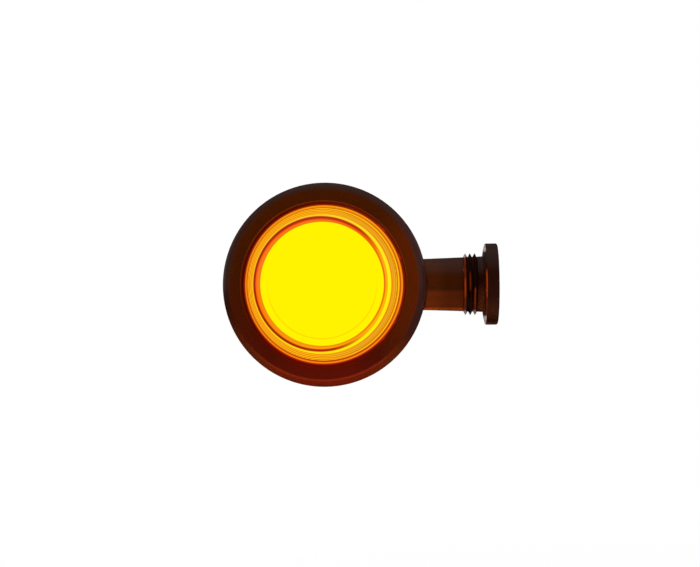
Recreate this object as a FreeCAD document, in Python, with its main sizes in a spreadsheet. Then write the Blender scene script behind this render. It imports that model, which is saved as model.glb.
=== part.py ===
"""Round turn signal lamp on a short stem: a swivelling lamp head, a sprung rubber knock joint
and a threaded mounting flange. Lengths are millimetres and angles degrees.

The origin is the centre of the mounting flange's outer face. +X runs along the stem, out of the
mount. The lamp faces -Y and +Z is up.
"""
import FreeCAD, Part
import math
import os
import re
import Sketcher

os.makedirs("parts", exist_ok=True)
doc = FreeCAD.newDocument("turn_signal")
Vector = FreeCAD.Vector

# Driving dimensions. Each is one cell of the sheet.
SIZES = {
    # mounting flange and its collar
    "flange_radius": 12.1,
    "flange_thickness": 3.7,
    "flange_edge": 0.3,
    "step_radius": 10.6,
    "step_thickness": 0.6,
    "collar_radius": 8.3,
    "collar_length": 1.7,
    "collar_taper": 0.1,
    "seal_groove_radius": 9.2,
    "seal_groove_width": 1.6,
    "seal_groove_depth": 1.1,
    "face_seal_stand": 0.05,
    # threaded insert, tapped M8: its radius is that of the hole before tapping
    "thread_radius": 3.4,
    "insert_radius": 4.25,
    "insert_length": 7.0,
    "insert_head_radius": 5.6,
    "insert_head_thickness": 1.0,
    # knock joint: ribbed rubber boot around a coil spring
    "boot_land": 0.05,
    "boot_radius": 8.15,
    "boot_bore_radius": 6.0,
    "rib_radius": 9.25,
    "rib_count": 3,
    "rib_pitch": 1.41,
    "rib_base": 1.16,
    "spring_seat_radius": 5.8,
    "spring_seat_depth": 1.6,
    "spring_wire": 1.0,
    "spring_turns": 4.5,
    # swivel spindle
    "spindle_head_radius": 6.9,
    "spindle_head_length": 3.0,
    "spindle_radius": 3.6,
    "spindle_bore_radius": 2.2,
    "journal_length": 3.5,
    "thread_tail_radius": 3.0,
    "thread_tail_length": 4.2,
    "o_ring_section": 1.0,
    "o_ring_squeeze": 0.2,
    "washer_radius": 4.9,
    "washer_thickness": 0.6,
    "washer_dish": 0.24,
    "nut_flats": 8.4,
    "nut_thickness": 3.0,
    # lamp housing
    "head_distance": 51.0,
    "head_radius": 30.0,
    "head_wall": 2.4,
    "back_round": 4.0,
    "seam_depth": 8.0,
    "neck_root_radius": 7.65,
    "neck_tip_radius": 8.05,
    "tunnel_radius": 5.3,
    "collar_wall": 2.5,
    "web_thickness": 2.0,
    "cavity_depth": 13.4,
    "shelf_thickness": 1.8,
    "shelf_width": 4.9,
    # bezel ring
    "bezel_depth": 2.9,
    "bezel_round_width": 2.4,
    "bezel_width": 6.1,
    "bezel_bore_edge": 0.5,
    "bezel_arc": 3.9,
    "lip_thickness": 1.2,
    "skirt_gap": 0.25,
    "skirt_thickness": 1.4,
    "skirt_length": 2.4,
    "skirt_room": 2.2,
    "bezel_seal_section": 0.9,
    # lens and gasket
    "gasket_thickness": 0.5,
    "gasket_show": 0.5,
    "lens_flange_thickness": 1.0,
    "lens_gap": 0.75,
    "lens_slope_width": 3.55,
    "lens_shoulder_width": 1.9,
    "lens_rise": 6.6,
    "lens_shoulder_drop": 0.9,
    "lens_wall": 1.6,
    "lens_inner_step": 1.9,
    # diffuser and reflector
    "diffuser_room": 0.4,
    "diffuser_wall": 1.2,
    "reflector_flange_thickness": 0.8,
    "reflector_seat_depth": 1.6,
    "reflector_wall": 0.9,
    "reflector_draft": 1.0,
    "boss_radius": 1.9,
    "boss_inset": 2.5,
    # light board, heat spreader and their screws
    "board_room": 1.8,
    "board_thickness": 1.6,
    "board_depth": 4.0,
    "led_width": 3.5,
    "led_height": 1.6,
    "led_inset": 4.8,
    "outer_led_count": 6,
    "spreader_thickness": 2.0,
    "spreader_window_radius": 10.5,
    "board_screw_radius": 1.0,
    "board_screw_bite": 2.6,
    "board_screw_head_radius": 1.9,
    "board_screw_head_height": 1.3,
    "screw_count": 3,
    # parts on the back of the light board
    "chip_width": 5.0,
    "chip_height": 1.2,
    "chip_offset": 4.0,
    "capacitor_radius": 2.5,
    "capacitor_height": 5.5,
    "capacitor_offset": 5.0,
    "resistor_length": 3.2,
    "resistor_width": 1.6,
    "resistor_height": 0.6,
    "resistor_pitch": 2.6,
    "resistor_count": 3,
    "connector_length": 7.5,
    "connector_width": 4.0,
    "connector_height": 4.5,
    "connector_offset": 6.0,
    # rear cover
    "cover_margin": 1.6,
    "cover_thickness": 2.2,
    "cover_dome": 1.8,
    "dome_radius": 98.0,
    "spigot_length": 1.6,
    "spigot_wall": 1.6,
    "rear_seal_section": 0.9,
    "cover_screw_radius": 1.0,
    "cover_screw_bite": 3.4,
    "cover_screw_head_radius": 1.9,
    "cover_screw_head_height": 1.0,
    "cover_boss_length": 3.0,
    "socket_flats": 1.5,
    "socket_depth": 0.6,
    "vent_radius": 2.0,
    "vent_boss_radius": 3.6,
    "vent_cap_radius": 3.2,
    "vent_cap_height": 0.8,
    # clearances
    "press_gap": 0.02,
    "journal_gap": 0.05,
    "swivel_gap": 0.1,
    "fit_gap": 0.15,
}

# Places worked out from the sizes. Along the stem they are X, in the head they are Y.
PLACES = {
    "step_face": "0 - flange_thickness",
    "collar_face": "step_face - step_thickness",
    "boot_foot": "collar_face - collar_length",
    "boot_length": "(rib_count - 1) * rib_pitch + rib_base + 2 * boot_land",
    "boot_head": "boot_foot - boot_length",
    "rib_start": "boot_head + boot_land + rib_base / 2",
    "spring_foot": "boot_foot + spring_seat_depth",
    "spring_head": "boot_head - spring_seat_depth",
    "spring_mean_radius": "(insert_radius + spring_seat_radius) / 2",
    "neck_end": "boot_head - swivel_gap",
    "spindle_shoulder": "boot_head - spindle_head_length",
    "neck_shoulder": "spindle_shoulder - swivel_gap",
    "journal_end": "neck_shoulder - journal_length",
    "washer_front": "journal_end - swivel_gap",
    "nut_front": "washer_front - washer_thickness",
    "nut_back": "nut_front - nut_thickness",
    "spindle_end": "nut_front - thread_tail_length",
    "journal_bore_radius": "spindle_radius + journal_gap",
    "neck_bore_radius": "spindle_head_radius + swivel_gap",
    "o_ring_groove_radius": "journal_bore_radius - o_ring_section * (1 - o_ring_squeeze)",
    "o_ring_place": "neck_shoulder - journal_length / 2",

    "seam_face": "0 - seam_depth",
    "bezel_front": "seam_face - bezel_depth",
    "lip_back": "bezel_front + lip_thickness",
    "gasket_back": "lip_back + gasket_thickness",
    "lens_back": "gasket_back + lens_flange_thickness",
    "collar_front": "lens_back + reflector_flange_thickness",
    "lens_front": "gasket_back - lens_rise",
    "lens_inside": "lens_front + lens_wall",
    "lens_shoulder_face": "lens_front + lens_shoulder_drop",
    "wall_inner_radius": "head_radius - head_wall",
    "bezel_face_radius": "head_radius - bezel_round_width",
    "bezel_bore_radius": "head_radius - bezel_width",
    "skirt_radius": "wall_inner_radius - skirt_gap",
    "bezel_inner_radius": "skirt_radius - skirt_thickness",
    "skirt_end": "seam_face + skirt_length",
    "lens_rim_radius": "bezel_inner_radius - fit_gap",
    "lens_base_radius": "bezel_bore_radius - lens_gap",
    "lens_shoulder_radius": "lens_base_radius - lens_slope_width",
    "lens_face_radius": "lens_shoulder_radius - lens_shoulder_width",
    "lens_inner_radius": "lens_face_radius - lens_inner_step",
    "collar_outer_radius": "lens_rim_radius",
    "collar_inner_radius": "collar_outer_radius - collar_wall",
    "groove_floor": "skirt_end + skirt_room",
    "web_back": "groove_floor + web_thickness",
    "shelf_front": "seam_face + cavity_depth",
    "shelf_back": "shelf_front + shelf_thickness",
    "housing_back": "shelf_back + cover_thickness",
    "cover_radius": "head_radius - back_round - cover_margin",
    "recess_radius": "cover_radius + fit_gap",
    "shelf_radius": "cover_radius - shelf_width",
    "cover_screw_circle": "(cover_radius + shelf_radius) / 2",
    "round_start": "housing_back - back_round",

    "diffuser_front": "lens_inside + fit_gap * 2",
    "diffuser_radius": "lens_inner_radius - diffuser_room",
    "reflector_mouth_radius": "diffuser_radius - diffuser_wall",
    "reflector_throat_radius": "reflector_mouth_radius - reflector_draft",
    "board_radius": "collar_inner_radius - board_room",
    "boss_circle_radius": "board_radius - boss_inset",
    "led_circle_radius": "reflector_throat_radius - led_inset",
    "reflector_seat": "lens_back + reflector_seat_depth",
    "reflector_bore_radius": "diffuser_radius + fit_gap",
    "reflector_back_radius": "reflector_bore_radius + reflector_wall",
    "reflector_rim_radius": "lens_rim_radius - fit_gap",
    "board_front": "0 - board_depth",
    "board_back": "board_front + board_thickness",
    "spreader_back": "board_back + spreader_thickness",
    "cover_inside": "shelf_back - spigot_length",
    "spigot_radius": "shelf_radius - fit_gap",
    "cover_boss_front": "shelf_front - cover_boss_length",
    "dome_back": "housing_back + cover_dome",
}


def bound(text):
    """The expression with each place worked out, down to the sheet's own cells."""
    def swap(match):
        word = match.group(0)
        if word in PLACES:
            return "(" + bound(PLACES[word]) + ")"
        return "Sizes." + word
    return re.sub(r"[a-z]+(?:_[a-z]+)+", swap, text)


def value(text):
    return float(sheet.evalExpression(bound(text)))


def make_sheet():
    made = doc.addObject("Spreadsheet::Sheet", "Sizes")
    for row, (word, size) in enumerate(SIZES.items(), start=1):
        made.set(f"A{row}", word)
        made.set(f"B{row}", str(size))
        made.setAlias(f"B{row}", word)
    doc.recompute()
    return made


def plane(body, role):
    return next(item for item in body.Origin.OriginFeatures if item.Role == role)


def new_body(label, x="0"):
    """An empty body whose own origin lies at x along the stem."""
    body = doc.addObject("PartDesign::Body", label)
    body.Label = label
    body.setExpression(".Placement.Base.x", bound(x))
    return body


def new_sketch(body, role, offset="0"):
    sketch = body.newObject("Sketcher::SketchObject", body.Name + "_sketch")
    sketch.AttachmentSupport = [(plane(body, role), "")]
    sketch.MapMode = "FlatFace"
    sketch.setExpression("AttachmentOffset.Base.z", bound(offset))
    return sketch


def place_point(sketch, shape, end, x, y):
    """Tie one end of a curve to a pair of expressions."""
    for kind, text in (("DistanceX", x), ("DistanceY", y)):
        tie = sketch.addConstraint(Sketcher.Constraint(kind, -1, 1, shape, end, value(text)))
        sketch.setExpression(f"Constraints[{tie}]", bound(text))


def arc_between(start, end, radius, turn):
    """Short arc from start to end. turn is 1 anticlockwise and -1 clockwise."""
    chord = end - start
    rise = math.sqrt(radius ** 2 - (chord.Length / 2) ** 2)
    side = Vector(-chord.y, chord.x, 0).normalize() * rise * turn
    centre = (start + end) / 2 + side
    first, last = (start, end) if turn > 0 else (end, start)
    angles = [math.atan2(p.y - centre.y, p.x - centre.x) for p in (first, last)]
    return Part.ArcOfCircle(Part.Circle(centre, Vector(0, 0, 1), radius), *angles)


def draw(sketch, points):
    """Closed outline through points (x, y), or (x, y, radius, turn) where an arc leads to one."""
    spots = [Vector(value(p[0]), value(p[1]), 0) for p in points]
    ends = []
    first = sketch.GeometryCount
    for i, start in enumerate(spots):
        target = points[(i + 1) % len(points)]
        end = spots[(i + 1) % len(points)]
        if len(target) == 4:
            curve = sketch.addGeometry(arc_between(start, end, value(target[2]), target[3]))
            tie = sketch.addConstraint(Sketcher.Constraint("Radius", curve, value(target[2])))
            sketch.setExpression(f"Constraints[{tie}]", bound(target[2]))
            ends.append((1, 2) if target[3] > 0 else (2, 1))
        else:
            sketch.addGeometry(Part.LineSegment(start, end))
            ends.append((1, 2))
    for i, point in enumerate(points):
        after = (i + 1) % len(points)
        meet = Sketcher.Constraint("Coincident", first + i, ends[i][1], first + after, ends[after][0])
        sketch.addConstraint(meet)
        place_point(sketch, first + i, ends[i][0], point[0], point[1])


def circle(sketch, x, y, radius):
    spot = Vector(value(x), value(y), 0)
    curve = sketch.addGeometry(Part.Circle(spot, Vector(0, 0, 1), value(radius)))
    place_point(sketch, curve, 3, x, y)
    tie = sketch.addConstraint(Sketcher.Constraint("Radius", curve, value(radius)))
    sketch.setExpression(f"Constraints[{tie}]", bound(radius))


def box_outline(x, y, width, height):
    """Corners of a rectangle about the middle x, y."""
    low_x, high_x = f"{x} - ({width}) / 2", f"{x} + ({width}) / 2"
    low_y, high_y = f"{y} - ({height}) / 2", f"{y} + ({height}) / 2"
    return [(low_x, low_y), (high_x, low_y), (high_x, high_y), (low_x, high_y)]


def hexagon(x, y, flats):
    corner = f"({flats}) / 2 / cos(30)"
    return [(f"{x} + {corner} * cos({60 * k})", f"{y} + {corner} * sin({60 * k})") for k in range(6)]


def turn(body, kind, points, axis):
    """Turned feature: kind is Revolution or Groove, about the sketch's H_Axis or V_Axis."""
    sketch = new_sketch(body, "XY_Plane")
    draw(sketch, points)
    doc.recompute()
    feature = body.newObject("PartDesign::" + kind, body.Name + "_" + kind)
    feature.Profile = sketch
    feature.ReferenceAxis = (sketch, [axis])
    feature.Angle = 360
    sketch.Visibility = False
    doc.recompute()
    return feature


def stem_turned(label, points):
    """Body of revolution about the stem. Points are (x, radius)."""
    body = new_body(label)
    turn(body, "Revolution", points, "H_Axis")
    return body


def head_turned(label, points):
    """Body of revolution about the lamp's own axis. Points are (radius, y)."""
    body = new_body(label, "0 - head_distance")
    turn(body, "Revolution", points, "V_Axis")
    return body


def prism(body, kind, role, fill, low, high, sign=1):
    """Pad or Pocket of what fill draws on a plane, between low and high along its normal."""
    middle = f"(({low}) + ({high})) / 2"
    sketch = new_sketch(body, role, middle if sign > 0 else f"0 - {middle}")
    fill(sketch)
    doc.recompute()
    feature = body.newObject("PartDesign::" + kind, body.Name + "_" + kind)
    feature.Profile = sketch
    feature.Midplane = True
    feature.setExpression("Length", bound(f"({high}) - ({low})"))
    sketch.Visibility = False
    doc.recompute()
    return feature


def head_prism(body, kind, fill, low, high):
    """Pad or Pocket along the lamp's axis, from y low to y high."""
    return prism(body, kind, "XZ_Plane", fill, low, high, sign=-1)


def ring_of_holes(circle_radius, hole_radius, start=90):
    """Draws screw_count circles, evenly spaced, the first at the angle start."""
    def fill(sketch):
        for k in range(int(SIZES["screw_count"])):
            angle = f"({start} + {k} * 360 / screw_count)"
            circle(sketch, f"{circle_radius} * cos{angle}", f"{circle_radius} * sin{angle}", hole_radius)
    return fill


def pattern_about_head(body, features):
    """Repeat features evenly about the lamp's axis, screw_count times."""
    pattern = body.newObject("PartDesign::PolarPattern", body.Name + "_pattern")
    pattern.Originals = features
    pattern.Axis = (plane(body, "Y_Axis"), [""])
    pattern.Angle = 360
    pattern.setExpression("Occurrences", bound("screw_count"))
    body.Tip = pattern
    doc.recompute()


def ring_section(label, axis_kind, ring_radius, place, section):
    """O-ring as a torus about the stem ("stem") or the lamp's axis ("head")."""
    ring = doc.addObject("Part::Torus", label)
    ring.Label = label
    ring.setExpression("Radius1", bound(ring_radius))
    ring.setExpression("Radius2", bound(f"({section}) / 2"))
    if axis_kind == "stem":
        ring.Placement.Rotation = FreeCAD.Rotation(Vector(0, 1, 0), 90)
        ring.setExpression(".Placement.Base.x", bound(place))
    else:
        ring.Placement.Rotation = FreeCAD.Rotation(Vector(1, 0, 0), 90)
        ring.setExpression(".Placement.Base.x", bound("0 - head_distance"))
        ring.setExpression(".Placement.Base.y", bound(place))
    return ring


# ---- mount ------------------------------------------------------------------------------------

def mount_flange():
    """Flange, its stepped inner face and the collar that the boot is bonded to, in one piece."""
    bore = "insert_radius + press_gap"
    head_bore = "insert_head_radius + press_gap"
    groove_out = "seal_groove_radius + seal_groove_width / 2"
    groove_in = "seal_groove_radius - seal_groove_width / 2"
    return stem_turned("mount_flange", [
        ("0 - insert_head_thickness", bore),
        ("spring_foot", bore),
        ("spring_foot", "spring_seat_radius"),
        ("boot_foot", "spring_seat_radius"),
        ("boot_foot", "collar_radius - collar_taper"),
        ("collar_face", "collar_radius"),
        ("step_face - step_thickness / 2", "step_radius"),
        ("step_face", "step_radius"),
        ("step_face", "flange_radius - flange_edge"),
        ("step_face + flange_edge", "flange_radius"),
        ("0 - flange_edge", "flange_radius"),
        ("0", "flange_radius - flange_edge"),
        ("0", groove_out),
        ("0 - seal_groove_depth", groove_out),
        ("0 - seal_groove_depth", groove_in),
        ("0", groove_in),
        ("0", head_bore),
        ("0 - insert_head_thickness", head_bore),
    ])


def threaded_insert():
    """Headed steel bush with the mounting thread, drawn in from the outer face."""
    return stem_turned("threaded_insert", [
        ("0", "thread_radius"),
        ("0", "insert_head_radius"),
        ("0 - insert_head_thickness", "insert_head_radius"),
        ("0 - insert_head_thickness", "insert_radius"),
        ("0 - insert_length", "insert_radius"),
        ("0 - insert_length", "thread_radius"),
    ])


def face_seal():
    """Flat ring in the outer face's groove, just proud of the face."""
    outer = "seal_groove_radius + seal_groove_width / 2 - press_gap"
    inner = "seal_groove_radius - seal_groove_width / 2 + press_gap"
    return stem_turned("face_seal", [
        ("0 - seal_groove_depth", inner),
        ("0 - seal_groove_depth", outer),
        ("0 - face_seal_stand", outer),
        ("0 - face_seal_stand", inner),
    ])


def flex_boot():
    """Rubber sleeve with sharp ribs, bonded to the collar and to the spindle head."""
    points = [("boot_head", "boot_bore_radius"), ("boot_head", "boot_radius")]
    for rib in range(int(SIZES["rib_count"])):
        tip = f"rib_start + {rib} * rib_pitch"
        points.append((f"{tip} - rib_base / 2", "boot_radius"))
        points.append((tip, "rib_radius"))
        points.append((f"{tip} + rib_base / 2", "boot_radius"))
    points += [("boot_foot", "boot_radius"), ("boot_foot", "boot_bore_radius")]
    return stem_turned("flex_boot", points)


def flex_spring():
    """Coil spring between the seats in the collar and the spindle head."""
    body = new_body("flex_spring")
    sketch = new_sketch(body, "XY_Plane")
    start = "spring_head + spring_wire / 2 + press_gap"
    circle(sketch, start, "spring_mean_radius", "spring_wire / 2")
    doc.recompute()
    coil = body.newObject("PartDesign::AdditiveHelix", "flex_spring_coil")
    coil.Profile = sketch
    coil.ReferenceAxis = (sketch, ["H_Axis"])
    coil.Mode = "height-turns-growth"
    length = "(spring_foot - spring_head - spring_wire - 2 * press_gap)"
    coil.setExpression("Height", bound(length))
    coil.setExpression("Turns", bound("spring_turns"))
    sketch.Visibility = False
    doc.recompute()
    return body


# ---- swivel spindle ---------------------------------------------------------------------------

def spindle():
    """Hollow spindle: its head carries the boot, its shaft turns in the housing's neck."""
    groove_start = "o_ring_place + o_ring_section / 2 + press_gap"
    groove_end = "o_ring_place - o_ring_section / 2 - press_gap"
    return stem_turned("spindle", [
        ("spindle_end", "spindle_bore_radius"),
        ("spring_head", "spindle_bore_radius"),
        ("spring_head", "spring_seat_radius"),
        ("boot_head", "spring_seat_radius"),
        ("boot_head", "spindle_head_radius"),
        ("spindle_shoulder", "spindle_head_radius"),
        ("spindle_shoulder", "spindle_radius"),
        (groove_start, "spindle_radius"),
        (groove_start, "o_ring_groove_radius"),
        (groove_end, "o_ring_groove_radius"),
        (groove_end, "spindle_radius"),
        ("nut_front", "spindle_radius"),
        ("nut_front", "thread_tail_radius"),
        ("spindle_end", "thread_tail_radius"),
    ])


def swivel_seal():
    """O-ring squeezed in the spindle's groove, short of the neck's bore by the journal gap."""
    outer = "journal_bore_radius - journal_gap / 2"
    section = f"({outer} - o_ring_groove_radius - press_gap)"
    middle = f"o_ring_groove_radius + press_gap + {section} / 2"
    return ring_section("swivel_seal", "stem", middle, "o_ring_place", section)


def spring_washer():
    """Dished washer that sets the swivel's friction."""
    inner = "spindle_radius + press_gap"
    return stem_turned("spring_washer", [
        ("washer_front - washer_dish", inner),
        ("washer_front", "washer_radius"),
        ("nut_front + washer_dish", "washer_radius"),
        ("nut_front", inner),
    ])


def spindle_nut():
    """Lock nut on the spindle's tail."""
    body = new_body("spindle_nut")
    prism(body, "Pad", "YZ_Plane", lambda s: draw(s, hexagon("0", "0", "nut_flats")),
          "nut_back", "nut_front")
    prism(body, "Pocket", "YZ_Plane", lambda s: circle(s, "0", "0", "thread_tail_radius + press_gap"),
          "nut_back - swivel_gap", "nut_front + swivel_gap")
    return body


# ---- lamp head --------------------------------------------------------------------------------

def lamp_housing():
    """Drum with a seat for the lens stack, a groove for the bezel's skirt, and the hollow neck."""
    body = head_turned("lamp_housing", [
        ("collar_inner_radius", "collar_front"),
        ("collar_outer_radius", "collar_front"),
        ("collar_outer_radius", "groove_floor"),
        ("wall_inner_radius", "groove_floor"),
        ("wall_inner_radius", "seam_face"),
        ("head_radius", "seam_face"),
        ("head_radius", "round_start"),
        ("head_radius - back_round", "housing_back", "back_round", 1),
        ("recess_radius", "housing_back"),
        ("recess_radius", "shelf_back"),
        ("shelf_radius", "shelf_back"),
        ("shelf_radius", "shelf_front"),
        ("wall_inner_radius", "shelf_front"),
        ("wall_inner_radius", "web_back"),
        ("collar_inner_radius", "web_back"),
    ])
    tip = "head_distance + neck_end"
    turn(body, "Revolution", [
        ("head_radius - head_wall / 2", "0"),
        ("head_radius - head_wall / 2", "neck_root_radius"),
        (tip, "neck_tip_radius"),
        (tip, "0"),
    ], "H_Axis")
    turn(body, "Groove", [
        ("0", "0"),
        ("0", "tunnel_radius"),
        ("head_distance + journal_end", "tunnel_radius"),
        ("head_distance + journal_end", "journal_bore_radius"),
        ("head_distance + neck_shoulder", "journal_bore_radius"),
        ("head_distance + neck_shoulder", "neck_bore_radius"),
        (f"{tip} + swivel_gap", "neck_bore_radius"),
        (f"{tip} + swivel_gap", "0"),
    ], "H_Axis")
    ring = "cover_screw_circle"
    head_prism(body, "Pad", ring_of_holes(ring, "boss_radius"), "cover_boss_front", "shelf_front")
    head_prism(body, "Pocket", ring_of_holes(ring, "cover_screw_radius + press_gap"),
               "shelf_back - cover_screw_bite - fit_gap", "housing_back + swivel_gap")
    seal = "(head_radius + wall_inner_radius) / 2"
    turn(body, "Groove", [
        (f"{seal} - bezel_seal_section / 2 - press_gap", "seam_face - swivel_gap"),
        (f"{seal} + bezel_seal_section / 2 + press_gap", "seam_face - swivel_gap"),
        (f"{seal} + bezel_seal_section / 2 + press_gap", "seam_face + bezel_seal_section"),
        (f"{seal} - bezel_seal_section / 2 - press_gap", "seam_face + bezel_seal_section"),
    ], "V_Axis")
    return body


def bezel_ring():
    """Rounded front ring. Its lip holds the lens stack and its skirt goes into the housing."""
    return head_turned("bezel_ring", [
        ("bezel_bore_radius", "lip_back"),
        ("bezel_bore_radius", "bezel_front + bezel_bore_edge"),
        ("bezel_bore_radius + bezel_bore_edge", "bezel_front"),
        ("bezel_face_radius", "bezel_front"),
        ("head_radius", "seam_face", "bezel_arc", 1),
        ("skirt_radius", "seam_face"),
        ("skirt_radius", "skirt_end"),
        ("bezel_inner_radius", "skirt_end"),
        ("bezel_inner_radius", "lip_back"),
    ])


def bezel_seal():
    return ring_section("bezel_seal", "head", "(head_radius + wall_inner_radius) / 2",
                        "seam_face + bezel_seal_section / 2", "bezel_seal_section - press_gap")


def lens_gasket():
    inner = "bezel_bore_radius - gasket_show"
    return head_turned("lens_gasket", [
        (inner, "lip_back"),
        ("lens_rim_radius", "lip_back"),
        ("lens_rim_radius", "gasket_back"),
        (inner, "gasket_back"),
    ])


def lens():
    """Raised lens: a flange behind the gasket, a sloped side and a flat front."""
    return head_turned("lens", [
        ("0", "lens_front"),
        ("lens_face_radius", "lens_front"),
        ("lens_shoulder_radius", "lens_shoulder_face"),
        ("lens_base_radius", "gasket_back"),
        ("lens_rim_radius", "gasket_back"),
        ("lens_rim_radius", "lens_back"),
        ("lens_base_radius - lens_wall", "lens_back"),
        ("lens_inner_radius", "lens_inside"),
        ("0", "lens_inside"),
    ])


def diffuser():
    """Cup that spreads the light behind the lens face."""
    inner = "diffuser_radius - diffuser_wall"
    return head_turned("diffuser", [
        ("0", "diffuser_front"),
        ("diffuser_radius", "diffuser_front"),
        ("diffuser_radius", "reflector_seat"),
        (inner, "reflector_seat"),
        (inner, "diffuser_front + diffuser_wall"),
        ("0", "diffuser_front + diffuser_wall"),
    ])


def reflector():
    """Bright cup with a seat for the diffuser and three screw bosses."""
    body = head_turned("reflector", [
        ("reflector_throat_radius", "board_front"),
        ("reflector_mouth_radius", "reflector_seat"),
        ("reflector_bore_radius", "reflector_seat"),
        ("reflector_bore_radius", "lens_back"),
        ("reflector_rim_radius", "lens_back"),
        ("reflector_rim_radius", "collar_front"),
        ("reflector_back_radius", "collar_front"),
        ("reflector_back_radius", "reflector_seat + reflector_wall"),
        ("reflector_mouth_radius + reflector_wall", "reflector_seat + reflector_wall"),
        ("reflector_throat_radius + reflector_wall", "board_front"),
    ])
    ring = "boss_circle_radius"
    head_prism(body, "Pad", ring_of_holes(ring, "boss_radius"), "collar_front", "board_front")
    head_prism(body, "Pocket", ring_of_holes(ring, "board_screw_radius + press_gap"),
               "board_front - board_screw_bite - fit_gap", "board_front + swivel_gap")
    return body


def drilled_disc(label, radius, low, high, window=None):
    """Flat disc with the board screws' holes, and a window if one is given."""
    inner = window or "0"
    body = head_turned(label, [(inner, low), (radius, low), (radius, high), (inner, high)])
    head_prism(body, "Pocket", ring_of_holes("boss_circle_radius", "board_screw_radius + fit_gap"),
               f"{low} - swivel_gap", f"{high} + swivel_gap")
    return body


def led_chips():
    """Light-emitting chips: one at the middle and a ring around it."""
    def fill(sketch):
        draw(sketch, box_outline("0", "0", "led_width", "led_width"))
        for k in range(int(SIZES["outer_led_count"])):
            angle = f"({k} * 360 / outer_led_count)"
            x = f"led_circle_radius * cos{angle}"
            y = f"led_circle_radius * sin{angle}"
            draw(sketch, box_outline(x, y, "led_width", "led_width"))
    body = new_body("led_chips", "0 - head_distance")
    head_prism(body, "Pad", fill, "board_front - led_height", "board_front")
    return body


def head_block(label, fill, height):
    """Part that stands on the back of the light board."""
    body = new_body(label, "0 - head_distance")
    head_prism(body, "Pad", fill, "board_back", f"board_back + {height}")
    return body


def driver_chip():
    outline = box_outline("0 - chip_offset", "0", "chip_width", "chip_width")
    return head_block("driver_chip", lambda s: draw(s, outline), "chip_height")


def capacitor():
    return head_block("capacitor", lambda s: circle(s, "0", "capacitor_offset", "capacitor_radius"),
                      "capacitor_height")


def resistors():
    def fill(sketch):
        for k in range(int(SIZES["resistor_count"])):
            y = f"({k} - (resistor_count - 1) / 2) * resistor_pitch"
            draw(sketch, box_outline("capacitor_offset", y, "resistor_length", "resistor_width"))
    return head_block("resistors", fill, "resistor_height")


def board_connector():
    outline = box_outline("0", "0 - connector_offset", "connector_length", "connector_width")
    return head_block("board_connector", lambda s: draw(s, outline), "connector_height")


def screw_set(label, ring, head_front, head_height, head_radius, radius, tip):
    """Socket screws about the lamp's axis, with their heads to the rear, as separate solids."""
    body = new_body(label, "0 - head_distance")
    top = f"{head_front} + {head_height}"

    def disc(size):
        return lambda s: circle(s, "0", ring, size)
    head = head_prism(body, "Pad", disc(head_radius), head_front, top)
    shank = head_prism(body, "Pad", disc(radius), tip, head_front)
    socket = head_prism(body, "Pocket", lambda s: draw(s, hexagon("0", ring, "socket_flats")),
                        f"{top} - socket_depth", f"{top} + swivel_gap")
    pattern_about_head(body, [head, shank, socket])
    return body


def board_screws():
    return screw_set("board_screws", "boss_circle_radius", "spreader_back",
                     "board_screw_head_height", "board_screw_head_radius", "board_screw_radius",
                     "board_front - board_screw_bite")


def cover_screws():
    return screw_set("cover_screws", "cover_screw_circle", "housing_back",
                     "cover_screw_head_height", "cover_screw_head_radius", "cover_screw_radius",
                     "shelf_back - cover_screw_bite")


def rear_cover():
    """Domed shell with a spigot into the shelf, a seal groove and a boss for the vent."""
    land = "cover_screw_circle - cover_screw_head_radius - fit_gap * 2"
    seal = "(shelf_back - spigot_length / 2)"
    groove = "spigot_radius - rear_seal_section"
    inner = f"{groove} - spigot_wall"
    body = head_turned("rear_cover", [
        ("vent_radius", "cover_inside"),
        ("vent_boss_radius", "cover_inside"),
        ("vent_boss_radius", "shelf_back + cover_dome"),
        (inner, "shelf_back"),
        (inner, "cover_inside"),
        ("spigot_radius", "cover_inside"),
        ("spigot_radius", f"{seal} - rear_seal_section / 2"),
        (groove, f"{seal} - rear_seal_section / 2"),
        (groove, f"{seal} + rear_seal_section / 2"),
        ("spigot_radius", f"{seal} + rear_seal_section / 2"),
        ("spigot_radius", "shelf_back"),
        ("cover_radius", "shelf_back"),
        ("cover_radius", "housing_back"),
        (land, "housing_back"),
        ("vent_cap_radius + fit_gap", "dome_back", "dome_radius", 1),
        ("vent_radius", "dome_back"),
    ])
    head_prism(body, "Pocket", ring_of_holes("cover_screw_circle", "cover_screw_radius + fit_gap"),
               "shelf_back - swivel_gap", "housing_back + swivel_gap")
    return body


def rear_seal():
    return ring_section("rear_seal", "head", "spigot_radius - rear_seal_section / 2",
                        "shelf_back - spigot_length / 2", "rear_seal_section - press_gap")


def vent_plug():
    """Breather: a stem through the cover under a low cap."""
    stem = "vent_radius - press_gap"
    return head_turned("vent_plug", [
        ("0", "cover_inside"),
        (stem, "cover_inside"),
        (stem, "dome_back"),
        ("vent_cap_radius", "dome_back"),
        ("vent_cap_radius - vent_cap_height / 2", "dome_back + vent_cap_height"),
        ("0", "dome_back + vent_cap_height"),
    ])


def check_document():
    for item in doc.Objects:
        if "Invalid" in item.State or "Error" in item.State:
            raise RuntimeError(f"{item.Name} failed: {item.State}")


def write_parts(pieces):
    for piece in pieces:
        shape = piece.Shape
        if shape.isNull() or not shape.isValid() or not shape.Solids:
            raise RuntimeError(f"{piece.Label} has no valid shape")
        if any(solid.Volume <= 0 for solid in shape.Solids):
            raise RuntimeError(f"{piece.Label} holds an inside-out solid")
        shape.exportStep(f"parts/{piece.Label}.step")
        print(f"{piece.Label:16s} {len(shape.Solids):2d} solids {shape.Volume:10.1f} mm3")


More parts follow.
